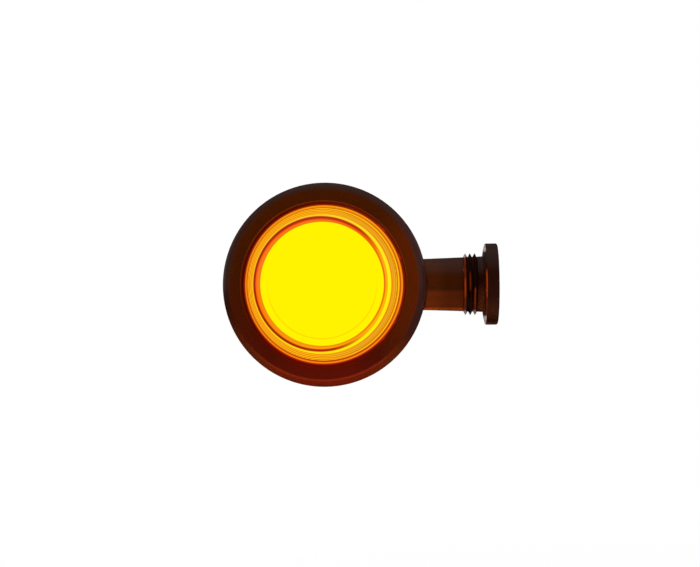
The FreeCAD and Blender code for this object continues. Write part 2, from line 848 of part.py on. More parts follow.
sheet = make_sheet()
pieces = [
    mount_flange(), threaded_insert(), face_seal(), flex_boot(), flex_spring(),
    spindle(), swivel_seal(), spring_washer(), spindle_nut(),
    lamp_housing(), bezel_ring(), bezel_seal(), lens_gasket(), lens(), diffuser(), reflector(),
    drilled_disc("led_board", "board_radius", "board_front", "board_back"),
    led_chips(),
    drilled_disc("heat_spreader", "board_radius", "board_back", "spreader_back",
                 "spreader_window_radius"),
    board_screws(), driver_chip(), capacitor(), resistors(), board_connector(),
    rear_cover(), rear_seal(), cover_screws(), vent_plug(),
]
doc.recompute()
check_document()
write_parts(pieces)
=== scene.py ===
"""Dresses the round turn signal lamp: lacquered housing, lit amber lens, rubber boot and flange.

Sections are in millimetres and are turned about one of two axes. The head's axis runs along Y
through the lamp, and the stem's axis is X. Everything that Blender sees is in metres.
"""
import math
import bmesh
import bpy
from mathutils import Matrix, Vector


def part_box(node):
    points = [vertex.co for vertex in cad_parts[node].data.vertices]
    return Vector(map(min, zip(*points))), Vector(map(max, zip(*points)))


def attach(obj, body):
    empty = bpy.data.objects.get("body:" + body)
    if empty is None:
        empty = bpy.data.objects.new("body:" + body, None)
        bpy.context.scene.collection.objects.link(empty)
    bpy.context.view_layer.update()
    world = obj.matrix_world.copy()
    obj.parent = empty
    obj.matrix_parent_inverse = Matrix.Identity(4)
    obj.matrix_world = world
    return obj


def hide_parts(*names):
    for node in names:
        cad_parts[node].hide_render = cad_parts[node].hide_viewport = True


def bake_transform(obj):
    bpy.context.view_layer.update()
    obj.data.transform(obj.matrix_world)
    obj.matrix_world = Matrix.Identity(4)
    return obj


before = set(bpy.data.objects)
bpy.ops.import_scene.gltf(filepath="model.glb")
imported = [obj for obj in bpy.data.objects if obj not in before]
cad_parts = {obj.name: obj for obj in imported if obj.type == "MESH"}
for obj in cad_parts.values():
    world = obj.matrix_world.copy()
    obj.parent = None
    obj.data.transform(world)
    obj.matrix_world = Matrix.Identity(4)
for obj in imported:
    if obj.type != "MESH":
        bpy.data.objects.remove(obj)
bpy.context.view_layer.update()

MM = 0.001
TURN = 2 * math.pi

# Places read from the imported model, in millimetres.
BEZEL_LOW, BEZEL_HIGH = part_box("bezel_ring")
BOOT_LOW, BOOT_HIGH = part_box("flex_boot")
HEAD_X = (BEZEL_LOW.x + BEZEL_HIGH.x) / 2 / MM
HEAD_RADIUS = (BEZEL_HIGH.x - BEZEL_LOW.x) / 2 / MM
BOOT_HEAD = BOOT_LOW.x / MM
BOOT_FOOT = BOOT_HIGH.x / MM

# Sizes of the solids that the finishes and shapes below share, in millimetres.
BEZEL_FRONT = -10.9
BEZEL_BORE = 23.9
BEZEL_FACE = 27.6
BEZEL_ARC = 3.9
SEAM = -8.0
GASKET_BORE = 23.4
GASKET_FRONT = -9.7
LENS_RIM = 25.8
LENS_BASE = 23.15
LENS_BASE_Y = -9.2
SLOPE_TOP = (19.85, -14.5)
STEP_FACE = -3.7
FLANGE_RADIUS = 12.1
BOOT_RADIUS = 8.15
BOOT_BORE = 6.0
FIRST_RIB = BOOT_HEAD + 0.63
RIB_PITCH = 1.41
INSERT_END = -7.0
COVER_RADIUS = 24.4
COVER_EDGE = 9.4


def tint(red, green, blue):
    """A colour given in 0 to 255 steps, as the linear colour a shader takes."""
    steps = []
    for step in (red, green, blue):
        part = step / 255
        steps.append(part / 12.92 if part <= 0.04045 else ((part + 0.055) / 1.055) ** 2.4)
    return (*steps, 1.0)


# ---- camera and objects

def placed(name, data):
    """A new object in the scene."""
    item = bpy.data.objects.new(name, data)
    bpy.context.scene.collection.objects.link(item)
    return item


def place_camera():
    """A long lens a little to the right of the lamp's axis and a little below it."""
    around = math.radians(3.46)
    above = math.radians(-1.79)
    tilt = math.radians(-0.32)
    aim = Vector((-43.86, 0, 0.48)) * MM
    distance = 345.8 * MM
    back = Vector((
        math.sin(around) * math.cos(above),
        -math.cos(around) * math.cos(above),
        math.sin(above),
    ))
    level = Vector((math.cos(around), math.sin(around), 0))
    upright = back.cross(level)
    right = level * math.cos(tilt) + upright * math.sin(tilt)
    up = upright * math.cos(tilt) - level * math.sin(tilt)
    camera = placed("camera", bpy.data.cameras.new("camera"))
    turned_to = Matrix((right, up, back)).transposed().to_4x4()
    camera.matrix_world = Matrix.Translation(aim + back * distance) @ turned_to
    camera.data.sensor_width = 36
    camera.data.lens = 59.25
    camera.data.clip_start = 0.01
    bpy.context.scene.camera = camera
    bpy.context.scene.view_settings.view_transform = "Standard"


# ---- node trees

class Bench:
    """A node tree being built. Sockets are fed from other sockets or from plain numbers."""

    def __init__(self, tree):
        self.tree = tree
        tree.nodes.clear()

    def feed(self, socket, value):
        if isinstance(value, bpy.types.NodeSocket):
            self.tree.links.new(value, socket)
        elif value is not None:
            socket.default_value = value

    def add(self, kind, sockets=(), **settings):
        node = self.tree.nodes.new(kind)
        for setting, value in settings.items():
            setattr(node, setting, value)
        pairs = sockets.items() if isinstance(sockets, dict) else enumerate(sockets)
        for socket, value in pairs:
            self.feed(node.inputs[socket], value)
        return node

    def made(self, kind, sockets=(), **settings):
        """The first output of a new node."""
        return self.add(kind, sockets, **settings).outputs[0]

    def calc(self, operation, *values):
        """One arithmetic step."""
        return self.made("ShaderNodeMath", values, operation=operation)

    def plus(self, value, times, base):
        """value times a number, added to base."""
        return self.calc("MULTIPLY_ADD", value, times, base)

    def less(self, value, other):
        return self.calc("SUBTRACT", value, other)

    def scaled(self, place, times):
        return self.made("ShaderNodeVectorMath", {0: place, "Scale": times}, operation="SCALE")

    def length(self, place):
        return self.add("ShaderNodeVectorMath", [place], operation="LENGTH").outputs["Value"]

    def product(self, first, *others):
        for other in others:
            first = self.calc("MULTIPLY", first, other)
        return first

    def off(self, value, middle):
        """How far value is from middle, either way."""
        return self.calc("ABSOLUTE", self.less(value, middle))

    def held(self, value, low, high):
        """The value, held between low and high."""
        return self.calc("MINIMUM", self.calc("MAXIMUM", value, low), high)

    def between(self, value, low, high, out_low=0.0, out_high=1.0):
        """Runs from out_low to out_high as value goes from low to high, softly and held at the ends."""
        node = self.add("ShaderNodeMapRange", {
            "Value": value,
            "From Min": low,
            "From Max": high,
            "To Min": out_low,
            "To Max": out_high,
        }, interpolation_type="SMOOTHSTEP")
        return node.outputs["Result"]

    def line(self, value, middle, half):
        """A soft line: 1 where value is at middle, 0 past half either side of it."""
        return self.between(self.off(value, middle), half, half * 0.4)

    def wave(self, value, pitch):
        """A wave from 0 to 1 and back, once each pitch."""
        swing = self.calc("COSINE", self.product(value, TURN / pitch))
        return self.plus(swing, 0.5, 0.5)


class Finish(Bench):
    """A material being mixed: a Principled shader with its places in millimetres on the piece."""

    def __init__(self, name, **sockets):
        self.material = bpy.data.materials.new(name)
        self.material.use_nodes = True
        super().__init__(self.material.node_tree)
        self.shader = self.add("ShaderNodeBsdfPrincipled")
        self.add("ShaderNodeOutputMaterial", [self.shader.outputs[0]])
        self.place = None
        for socket, value in sockets.items():
            self.set(socket.replace("_", " "), value)

    def set(self, socket, value):
        self.feed(self.shader.inputs[socket], value)

    def spot(self):
        """The point on the piece, in millimetres."""
        if self.place is None:
            where = self.add("ShaderNodeTexCoord").outputs["Object"]
            self.place = self.scaled(where, 1 / MM)
            self.axes = self.add("ShaderNodeSeparateXYZ", [self.place]).outputs
        return self.place

    def along(self, axis):
        self.spot()
        return self.axes["XYZ".index(axis)]

    def about_head(self, off_centre=0.0):
        """How far the point is from the lamp's axis, or from one moved off_centre along the stem."""
        side = self.less(self.along("X"), HEAD_X + off_centre)
        flat = self.made("ShaderNodeCombineXYZ", [side, 0.0, self.along("Z")])
        return self.length(flat)

    def around_head(self):
        """Which way the point lies from the lamp's axis: (towards the stem, upwards), each -1 to 1."""
        far = self.about_head()
        side = self.less(self.along("X"), HEAD_X)
        return self.calc("DIVIDE", side, far), self.calc("DIVIDE", self.along("Z"), far)

    def leaning(self, side, side_share, up, up_share, middle):
        """Runs evenly across the lamp, by so much towards the stem and so much upwards."""
        upwards = self.plus(up, up_share, middle)
        return self.plus(side, side_share, upwards)

    def grain(self, size, detail=2.0, where=None):
        """Fine irregular grain with patches of about this size in millimetres."""
        return self.made("ShaderNodeTexNoise", {
            "Vector": where or self.spot(),
            "Scale": 1 / size,
            "Detail": detail,
        })

    def mix(self, share, first, second):
        node = self.add("ShaderNodeMix", data_type="RGBA")
        self.feed(node.inputs["Factor"], share)
        self.feed(node.inputs[6], first)
        self.feed(node.inputs[7], second)
        return node.outputs[2]

    def fade(self, value, low, high, first, second):
        """Goes from the first colour to the second as value goes from low to high."""
        return self.mix(self.between(value, low, high), first, second)

    def touch(self, colour, over, *shares):
        """Lays a second colour over the first where all the shares meet."""
        return self.mix(self.product(*shares), colour, over)

    def relief(self, height, depth):
        """Fine relief: height 0 to 1 stands depth millimetres."""
        bump = self.add("ShaderNodeBump", {"Height": height, "Distance": depth * MM, "Strength": 1.0})
        self.set("Normal", bump.outputs[0])

    def glow(self, base, colour, strength):
        self.set("Base Color", base)
        self.set("Emission Color", colour)
        self.set("Emission Strength", strength)
        return self.material

    def coat(self, colour, grain, smoothest, roughest, height, depth):
        """Ends a finish: its colour, a roughness that wanders with a grain of this size, and relief."""
        self.set("Base Color", colour)
        self.set("Roughness", self.between(self.grain(grain), 0.2, 0.8, smoothest, roughest))
        self.relief(height, depth)
        return self.material


# ---- finishes

def lacquer(finish, colour):
    """Gloss lacquer: faint mottling and orange peel."""
    mottle = finish.between(finish.grain(6.0), 0.3, 0.7)
    darker = finish.made("ShaderNodeHueSaturation", {"Value": 0.93, "Color": colour})
    colour = finish.mix(mottle, darker, colour)
    return finish.coat(colour, 1.5, 0.2, 0.24, finish.grain(0.9, 1.0), 0.002)


def head_lacquer():
    """The lamp's lacquer with light and shade painted into its colour: redder and warmer towards its
    underside and beside the stem, a painted sheen on the shoulder beside the stem, and painted
    highlight lines and shade on its edges.
    """
    finish = Finish("head_lacquer", Specular_IOR_Level=0.15)
    height = finish.along("Z")
    far = finish.about_head()
    side, up = finish.around_head()
    # painted light: the face and shoulder are lighter towards the stem and redder and warmer underneath
    face = finish.fade(up, -1.0, 0.25, tint(77, 13, 0), tint(63, 22, 0))
    face = finish.fade(side, 0.55, 1.0, face, tint(84, 28, 0))
    face = finish.fade(up, -0.8, -1.0, face, tint(90, 13, 0))
    shoulder = finish.fade(height, -25, -4, tint(98, 31, 0), tint(46, 17, 6))
    shoulder = finish.fade(height, -21, -29, shoulder, tint(112, 23, 0))
    # painted sheen on the shoulder beside the stem
    near_stem_sheen = finish.between(side, 0.3, 0.9)
    shoulder = finish.touch(shoulder, tint(56, 27, 22), near_stem_sheen, finish.between(up, -0.7, -0.35))
    colour = finish.fade(far, BEZEL_FACE, BEZEL_FACE + 0.5, face, shoulder)
    # painted highlight line along the lower edge of the face
    low = finish.between(up, -0.6, -0.95, 0.0, 0.7)
    colour = finish.touch(colour, tint(140, 38, 4), finish.line(far, BEZEL_FACE + 0.4, 0.42), low)
    # painted shade in the bore's edge, dark red with the lens's light
    bore = finish.fade(up, 0.0, -0.7, tint(76, 6, 0), tint(84, 0, 0))
    colour = finish.fade(far, BEZEL_BORE + 0.5, BEZEL_BORE + 0.25, colour, bore)
    # painted highlight line on the bore's edge, strongest high up
    high = finish.between(up, -0.7, 0.7, 0.0, 0.9)
    colour = finish.touch(colour, tint(118, 40, 8), finish.line(far, BEZEL_BORE + 0.42, 0.2), high)
    return lacquer(finish, colour)


def housing_lacquer():
    """The housing behind the seam, and its neck, with light painted into the neck's front: warmer level
    bands low down and a painted glow where it meets the head.
    """
    finish = Finish("housing_lacquer", Specular_IOR_Level=0.15)
    height = finish.along("Z")
    back = finish.along("Y")
    drum = finish.fade(back, -6.5, -3.0, tint(58, 21, 4), tint(50, 18, 5))
    # painted light: level bands down the neck's front, warmest and brightest underneath
    neck = finish.fade(height, 3.2, 1.8, tint(54, 19, 1), tint(57, 20, 1))
    neck = finish.fade(height, -1.4, -2.8, neck, tint(86, 30, 0))
    neck = finish.fade(height, -4.0, -5.4, neck, tint(92, 32, 0))
    neck = finish.fade(height, -6.7, -7.4, neck, tint(146, 57, 2))
    # painted glow, brightest where the neck meets the head
    root = HEAD_X + HEAD_RADIUS
    painted_glow_near_head = finish.between(finish.along("X"), root, root + 7, 1.7, 0.88)
    neck = finish.made("ShaderNodeHueSaturation", {"Value": painted_glow_near_head, "Color": neck})
    # the painted light fades out towards the back of the neck
    neck = finish.fade(back, 0.0, 2.5, neck, tint(54, 19, 4))
    on_neck = finish.between(finish.about_head(), HEAD_RADIUS + 0.03, HEAD_RADIUS + 0.5)
    return lacquer(finish, finish.mix(on_neck, drum, neck))


def flange_lacquer():
    """The mounting flange and its collar, with light painted in: bands down the rim, a warmer
    underside, a painted bright line on its step and pale painted highlights at the top and bottom of
    the step.
    """
    finish = Finish("flange_lacquer", Specular_IOR_Level=0.15)
    height = finish.along("Z")
    # painted light: bands of light and shade down the rim, and a painted glint near its bottom
    rim = finish.fade(height, -12, -8.5, tint(34, 6, 1), tint(60, 24, 9))
    rim = finish.fade(height, -8, -3, rim, tint(42, 15, 7))
    rim = finish.fade(height, -3, 2, rim, tint(35, 12, 3))
    rim = finish.mix(finish.line(height, -11.65, 0.5), rim, tint(82, 31, 5))
    along = finish.along("X")
    # painted light: the collar lighter and warmer underneath
    collar = finish.fade(height, -5.5, 1.0, tint(92, 35, 4), tint(40, 10, 2))
    colour = finish.fade(along, STEP_FACE - 0.45, STEP_FACE - 0.6, rim, collar)
    # painted highlight line along the step
    colour = finish.touch(
        colour,
        tint(156, 50, 16),
        finish.line(along, STEP_FACE + 0.08, 0.26),
        finish.between(height, 4.4, 2.6),
        finish.between(height, -5.0, -2.8, 0.25, 1.0),
    )
    # pale painted highlights on the step face at the top and bottom
    wear_and_painted_highlight = finish.between(finish.off(height, 0.0), 9.0, 10.2)
    step = finish.between(along, STEP_FACE + 0.2, STEP_FACE + 0.02)
    colour = finish.touch(colour, tint(206, 188, 182), wear_and_painted_highlight, step)
    colour = finish.fade(along, -0.4, -0.15, colour, tint(14, 6, 4))
    return lacquer(finish, colour)


def boot_rubber():
    """Black-brown rubber with light painted in: lighter and warmer low down, a painted glow of the lamp
    on the flanks that face it, each at its own height, and pale painted highlights at the rib tips.
    """
    finish = Finish("boot_rubber", Specular_IOR_Level=0.12)
    along = finish.along("X")
    height = finish.along("Z")
    bloom = finish.between(finish.grain(1.2, 3.0), 0.35, 0.75)
    colour = finish.mix(bloom, tint(28, 5, 1), tint(38, 9, 4))
    # painted light: lighter and warmer low down
    colour = finish.fade(height, -2.0, -7.0, colour, tint(52, 19, 8))
    # painted glow of the lamp on each rib's flank that faces it
    for rib, top, low, share in (
        (0, 9.0, -9.0, 0.45),
        (0, 1.8, -3.5, 1.0),
        (1, 3.5, -1.5, 0.45),
        (2, -1.0, -8.0, 0.8),
    ):
        colour = finish.touch(
            colour,
            tint(150, 50, 2),
            finish.line(along, FIRST_RIB + RIB_PITCH * rib - 0.26, 0.34),
            finish.between(height, top, top - 0.8, 0.0, share),
            finish.between(height, low - 0.8, low),
        )
    # pale painted highlights on the rib tips at the top and bottom
    for rib, start, end, share in ((0, 7.5, 8.2, 0.85), (2, -7.5, -8.2, 0.6), (0, -7.5, -8.2, 0.6)):
        tip = finish.line(along, FIRST_RIB + RIB_PITCH * rib - 0.34, 0.55)
        wear_and_painted_highlight = finish.between(height, start, end, 0.0, share)
        colour = finish.touch(colour, tint(196, 178, 172), tip, wear_and_painted_highlight)
    return finish.coat(colour, 0.5, 0.42, 0.6, finish.grain(0.12, 3.0), 0.012)


def red_gasket():
    """Dark red silicone with the lamp's light painted into its colour and glow: lighter beside the
    stem, a brighter lip and painted glints beside the stem.
    """
    finish = Finish("red_gasket", Specular_IOR_Level=0.1, Roughness=0.4)
    far = finish.about_head()
    side, up = finish.around_head()
    # painted light: lighter towards the stem and redder underneath
    colour = finish.fade(side, -0.7, 0.7, tint(62, 7, 0), tint(104, 22, 1))
    colour = finish.fade(up, -0.4, -0.95, colour, tint(114, 3, 0))
    # painted glow on the inner lip
    lip = finish.between(far, GASKET_BORE + 0.22, GASKET_BORE, 0.0, 0.7)
    colour = finish.mix(lip, colour, tint(150, 32, 1))
    way = finish.made("ShaderNodeCombineXYZ", [side, up, 0.0])
    # painted glints beside the stem
    colour = finish.touch(
        colour,
        tint(176, 44, 16),
        finish.between(finish.grain(0.13, 2.0, way), 0.5, 0.72),
        finish.between(side, 0.2, 0.8),
        finish.between(far, GASKET_BORE + 0.55, GASKET_BORE + 0.3),
    )
    finish.relief(finish.grain(0.4), 0.02)
    # the painted light is given as a glow as well, though the gasket is no lamp
    return finish.glow(tint(40, 3, 0), colour, 0.9)


def cut_strokes(finish, side, up):
    """The fine painted strokes of light where the slope's rings are crossed by straight cuts, level or
    upright.
    """
    far = finish.about_head()
    cuts = -3.33

    def crossed(place, rings):
        rings = finish.product(far, rings)
        return finish.wave(finish.plus(place, cuts, rings), 1.0)

    beside = crossed(finish.off(finish.along("X"), HEAD_X), finish.between(side, -0.5, 0.5, 2.7, 1.4))
    above = crossed(finish.off(finish.along("Z"), 0.0), finish.between(up, -0.5, 0.5, 1.93, 2.15))
    steep = finish.product(side, side)
    share = finish.between(steep, 0.45, 0.55)
    strokes = finish.made("ShaderNodeMix", [share, None, above, beside])
    clear = finish.product(
        finish.between(finish.off(steep, 0.5), 0.05, 0.3, 0.4, 1.0),
        finish.between(far, 20.5, 21.3, 0.35, 1.0),
        finish.between(side, -0.8, -0.97, 1.0, 0.4),
    )
    return finish.plus(finish.less(strokes, 0.5), clear, 0.5)


def lit_lens():
    """Amber acrylic over the lit diffuser, glowing: a bright window, then prism rings down the slope,
    with the light's bright and dark lines and its shift from side to side painted into the glow.
    """
    finish = Finish("lit_lens", Specular_IOR_Level=0.2, Roughness=0.12)
    far = finish.about_head()
    seat = finish.about_head(-0.5)
    side, up = finish.around_head()
    shaded = finish.held(finish.leaning(side, -0.45, up, 0.3, 0.5), 0.0, 1.0)
    beside = finish.between(side, -0.1, 0.7)
    # the band inside the shoulder, reddest beside the red line and away from the stem, is painted light
    # that shifts from side to side
    outer = finish.mix(shaded, tint(250, 174, 12), tint(250, 92, 0))
    inner = finish.mix(shaded, tint(250, 172, 14), tint(240, 126, 18))
    colour = finish.fade(seat, 17.8, 18.7, inner, outer)
    # painted orange line of light round the window's edge, strongest towards the stem
    rim = finish.leaning(side, 0.4, up, 0.15, 0.55)
    colour = finish.touch(colour, tint(228, 100, 0), finish.line(far, 18.05, 0.3), rim)
    colour = finish.fade(far, 17.9, 17.65, colour, tint(254, 242, 0))
    # painted faint ring of light in the window, stronger low down
    faint = finish.between(up, 0.3, -0.6, 0.0, 0.7)
    colour = finish.touch(colour, tint(246, 204, 0), finish.line(far, 15.8, 0.24), faint)
    # painted red line of light, strongest high up
    painted_upper_red_share = finish.between(up, 0.3, 0.95, 0.0, 0.85)
    colour = finish.touch(colour, tint(236, 52, 0), finish.line(seat, 18.8, 0.5), painted_upper_red_share)
    # the shoulder's painted bright line and, on its far side, the painted dark red one
    bright = finish.between(seat, 19.36, 19.5)
    colour = finish.mix(bright, colour, finish.mix(shaded, tint(254, 236, 8), tint(250, 200, 34)))
    red = finish.between(finish.plus(up, -0.2, side), 0.92, 0.35)
    painted_red_line = finish.fade(side, 0.2, -0.7, tint(176, 34, 0), tint(152, 22, 0))
    colour = finish.touch(colour, painted_red_line, red, finish.line(seat, 19.16, 0.56))
    # the slope: painted light of the prism rings and the strokes across them, paler towards the stem
    strokes = cut_strokes(finish, side, up)
    slope = finish.mix(strokes, tint(226, 126, 6), tint(255, 190, 26))
    paler = finish.mix(strokes, tint(208, 132, 18), tint(244, 190, 38))
    slope = finish.mix(beside, slope, paler)
    for ring, half, share, shown in (
        (20.12, 0.26, 0.9, tint(236, 126, 4)),
        (21.1, 0.2, 0.35, tint(226, 128, 8)),
        (21.62, 0.26, 0.9, tint(224, 112, 2)),
        (22.02, 0.24, 0.95, tint(255, 198, 20)),
    ):
        slope = finish.touch(slope, shown, finish.line(far, ring, half), beside, share)
    colour = finish.fade(finish.about_head(-0.25), 20.08, 20.22, colour, slope)
    # the groove at the foot of the slope, painted as a dark line, the painted bright rim outside it and
    # a darker red past the base
    painted_groove_shade = finish.leaning(side, 0.08, up, -0.22, 0.72)
    edge = finish.fade(up, -0.7, 0.7, tint(250, 130, 17), tint(250, 152, 17))
    edge = finish.fade(side, -0.5, -1.0, edge, tint(243, 130, 24))
    colour = finish.fade(far, 22.4, 22.6, colour, edge)
    colour = finish.touch(colour, tint(170, 46, 0), finish.line(far, 22.42, 0.32), painted_groove_shade)
    colour = finish.fade(far, LENS_BASE - 0.07, LENS_BASE + 0.1, colour, tint(140, 28, 1))
    return finish.glow(tint(60, 24, 0), colour, 1.0)


def turned_metal(name, light, dark, axis, roughness):
    """Metal with turning marks round the stem or the head."""
    finish = Finish(name, Metallic=1.0)
    across = finish.about_head() if axis == "head" else finish.along("X")
    across = finish.product(across, 9.0)
    marks = finish.made("ShaderNodeTexNoise", {"W": across}, noise_dimensions="1D")
    stain = finish.between(finish.grain(3.0, 3.0), 0.4, 0.75)
    finish.set("Base Color", finish.mix(stain, light, dark))
    finish.set("Roughness", finish.between(marks, 0.3, 0.7, roughness, roughness + 0.14))
    finish.relief(marks, 0.004)
    return finish.material


def wire_metal():
    """Drawn spring wire with a film of oil."""
    finish = Finish("spring_wire", Metallic=1.0)
    film = finish.between(finish.grain(1.0, 3.0), 0.35, 0.7)
    colour = finish.mix(film, tint(150, 148, 146), tint(112, 106, 98))
    return finish.coat(colour, 0.3, 0.26, 0.42, finish.grain(0.1, 3.0), 0.004)


def moulded(name, light, dark, grain=0.25, depth=0.02, roughness=0.5):
    """Moulded plastic or rubber with a spark-eroded grain."""
    finish = Finish(name, Specular_IOR_Level=0.35)
    cloud = finish.between(finish.grain(5.0), 0.3, 0.7)
    colour = finish.mix(cloud, dark, light)
    low, high = roughness - 0.08, roughness + 0.1
    return finish.coat(colour, grain * 2, low, high, finish.grain(grain), depth)


def rear_plastic():
    """The moulded rear cover: a fine grain, cloudy with wear and scuffed paler on its rim."""
    finish = Finish("rear_plastic", Specular_IOR_Level=0.35)
    far = finish.about_head()
    wear_and_painted_highlight = finish.between(finish.grain(9.0, 3.0), 0.35, 0.75)
    colour = finish.mix(wear_and_painted_highlight, tint(33, 32, 31), tint(38, 37, 36))
    patches = finish.between(finish.grain(2.0, 3.0), 0.4, 0.7)
    rim = finish.line(far, COVER_RADIUS - 0.1, 0.3)
    colour = finish.touch(colour, tint(74, 72, 70), rim, patches)
    return finish.coat(colour, 0.5, 0.4, 0.56, finish.grain(0.25), 0.02)


def lit_plastic(name, colour, shade, strength):
    """Plastic that the chips light from behind, a little uneven."""
    finish = Finish(name, Roughness=0.4)
    uneven = finish.fade(finish.grain(7.0), 0.25, 0.75, shade, colour)
    return finish.glow(colour, uneven, strength)


def bright_plating():
    """Vapour plating on the reflector, with the faint waves of the moulding under it."""
    finish = Finish("bright_plating", Metallic=1.0)
    finish.set("Base Color", finish.mix(finish.grain(9.0), tint(222, 222, 224), tint(238, 236, 232)))
    finish.set("Roughness", finish.between(finish.grain(2.0), 0.3, 0.7, 0.08, 0.16))
    finish.relief(finish.grain(2.5, 1.0), 0.01)
    return finish.material


def board_mask():
    """White solder mask over copper, whose tracks show as faint raised lines."""
    finish = Finish("board_mask", Specular_IOR_Level=0.5)
    tracks = finish.add("ShaderNodeTexBrick", {
        "Vector": finish.made("ShaderNodeMapping", {
            "Vector": finish.spot(),
            "Rotation": (math.radians(90), 0, 0),
        }),
        "Scale": 1.0,
        "Mortar Size": 0.12,
        "Mortar Smooth": 0.3,
        "Brick Width": 3.4,
        "Row Height": 1.7,
    }).outputs["Fac"]
    colour = finish.mix(tracks, tint(236, 237, 232), tint(214, 216, 205))
    return finish.coat(colour, 1.0, 0.3, 0.42, tracks, 0.03)


# ---- shaping

def eased(points, steps=4):
    """Rounds the corners of a section. A point is (a, b) or (a, b, corner radius)."""
    out = []
    for index, point in enumerate(points):
        here = Vector(point[:2])
        ease = point[2] if len(point) > 2 else 0
        before = Vector(points[index - 1][:2]) - here
        after = Vector(points[(index + 1) % len(points)][:2]) - here
        if not ease or before.length < 1e-6 or after.length < 1e-6:
            out.append(tuple(here))
            continue
        half = before.angle(after) / 2
        reach = min(ease / math.tan(half), before.length * 0.49, after.length * 0.49)
        ease = reach * math.tan(half)
        start = here + before.normalized() * reach
        end = here + after.normalized() * reach
        inward = (before.normalized() + after.normalized()).normalized()
        middle = here + inward * (ease / math.sin(half))
        for step in range(steps + 1):
            spoke = (start - middle).lerp(end - middle, step / steps).normalized() * ease
            out.append(tuple(middle + spoke))
    return out


def arc(middle, radius, start, end, steps):
    """Points on an arc, angles in degrees."""
    points = []
    for step in range(steps + 1):
        angle = math.radians(start + (end - start) * step / steps)
        points.append((middle[0] + radius * math.cos(angle), middle[1] + radius * math.sin(angle)))
    return points


def on_head(radius, y, angle):
    return Vector((HEAD_X + radius * math.cos(angle), y, radius * math.sin(angle))) * MM


def on_stem(x, radius, angle):
    return Vector((x, radius * math.cos(angle), radius * math.sin(angle))) * MM


def as_mesh(name, work):
    mesh = bpy.data.meshes.new(name)
    work.to_mesh(mesh)
    work.free()
    return mesh


def finished(name, work, finish):
    """Turns the bmesh into a smooth object that is sharp where it turns by more than 32 degrees."""
    mesh = as_mesh(name, work)
    mesh.materials.append(finish)
    mesh.shade_smooth()
    mesh.set_sharp_from_angle(angle=math.radians(32))
    return placed(name, mesh)


def spun(section, place, steps=192, closed=True, work=None):
    """Turns a section about the head (place=on_head) or the stem (place=on_stem)."""
    work = work or bmesh.new()
    rows = []
    for step in range(steps):
        angle = TURN * step / steps
        rows.append([work.verts.new(place(a, b, angle)) for a, b in section])
    count = len(section)
    last = count if closed else count - 1
    for step in range(steps):
        here = rows[step]
        there = rows[(step + 1) % steps]
        for point in range(last):
            after = (point + 1) % count
            work.faces.new((here[point], here[after], there[after], there[point]))
    return work


def tidied(work, gap=0.002):
    """Merges doubles, drops empty faces and turns every face outwards."""
    bmesh.ops.remove_doubles(work, verts=work.verts, dist=gap * MM)
    bmesh.ops.dissolve_degenerate(work, dist=gap * MM * 0.1, edges=work.edges)
    bmesh.ops.recalc_face_normals(work, faces=work.faces)
    return work


# ---- repeated shapes

class Pattern(Bench):
    """A Geometry Nodes tree with named inputs."""

    def __init__(self, name, numbers, counts=()):
        tree = bpy.data.node_groups.new(name, "GeometryNodeTree")
        super().__init__(tree)
        inputs = {"Geometry": "Geometry"}
        inputs.update(dict.fromkeys(numbers, "Float"))
        inputs.update(dict.fromkeys(counts, "Int"))
        inputs["Finish"] = "Material"
        for socket, kind in inputs.items():
            tree.interface.new_socket(socket, in_out="INPUT", socket_type="NodeSocket" + kind)
        tree.interface.new_socket("Geometry", in_out="OUTPUT", socket_type="NodeSocketGeometry")
        self.given = tree.nodes.new("NodeGroupInput").outputs

    def end_with(self, geometry):
        """Every tree ends with real faces that have a finish."""
        real = self.made("GeometryNodeRealizeInstances", [geometry])
        wanted = {"Geometry": real, "Material": self.given["Finish"]}
        self.add("NodeGroupOutput", [self.made("GeometryNodeSetMaterial", wanted)])

    def sheet(self):
        """A sheet to wrap round an axis, with each point's share of the way along and its angle."""
        across = self.calc("ADD", self.given["Segments"], 1)
        grid = self.made("GeometryNodeMeshGrid", {
            "Size X": 1.0,
            "Size Y": 1.0,
            "Vertices X": self.given["Stations"],
            "Vertices Y": across,
        })
        place = self.add("ShaderNodeSeparateXYZ", [self.made("GeometryNodeInputPosition")])
        share = self.calc("ADD", place.outputs[0], 0.5)
        angle = self.product(self.calc("ADD", place.outputs[1], 0.5), TURN)
        return grid, share, angle

    def run(self, share, start, end):
        """The place that lies this share of the way from start to end."""
        return self.plus(share, self.less(end, start), start)

    def turned(self, angle, radius):
        """The two places across an axis of a point at this angle and radius."""
        cosine = self.product(self.calc("COSINE", angle), radius)
        return cosine, self.product(self.calc("SINE", angle), radius)

    def wrapped(self, sheet, x, y, z):
        """Moves the sheet's points and closes its seam."""
        place = self.scaled(self.made("ShaderNodeCombineXYZ", [x, y, z]), MM)
        moved = self.made("GeometryNodeSetPosition", {"Geometry": sheet, "Position": place})
        return self.made("GeometryNodeMergeByDistance", {"Geometry": moved, "Distance": 1e-6})

    def use(self, name, values, finish, mesh=None):
        """Runs the tree on a mesh, or on nothing, and gives the plain mesh that it makes."""
        carrier = placed(name + "_maker", mesh or bpy.data.meshes.new(name))
        modifier = carrier.modifiers.new("pattern", "NODES")
        modifier.node_group = self.tree
        values = {**values, "Finish": finish}
        for item in self.tree.interface.items_tree:
            if item.in_out == "INPUT" and item.name in values:
                modifier[item.identifier] = values[item.name]
        evaluated = carrier.evaluated_get(bpy.context.evaluated_depsgraph_get())
        made = bpy.data.meshes.new_from_object(evaluated)
        carrier.modifiers.remove(modifier)
        bpy.data.objects.remove(carrier)
        return made


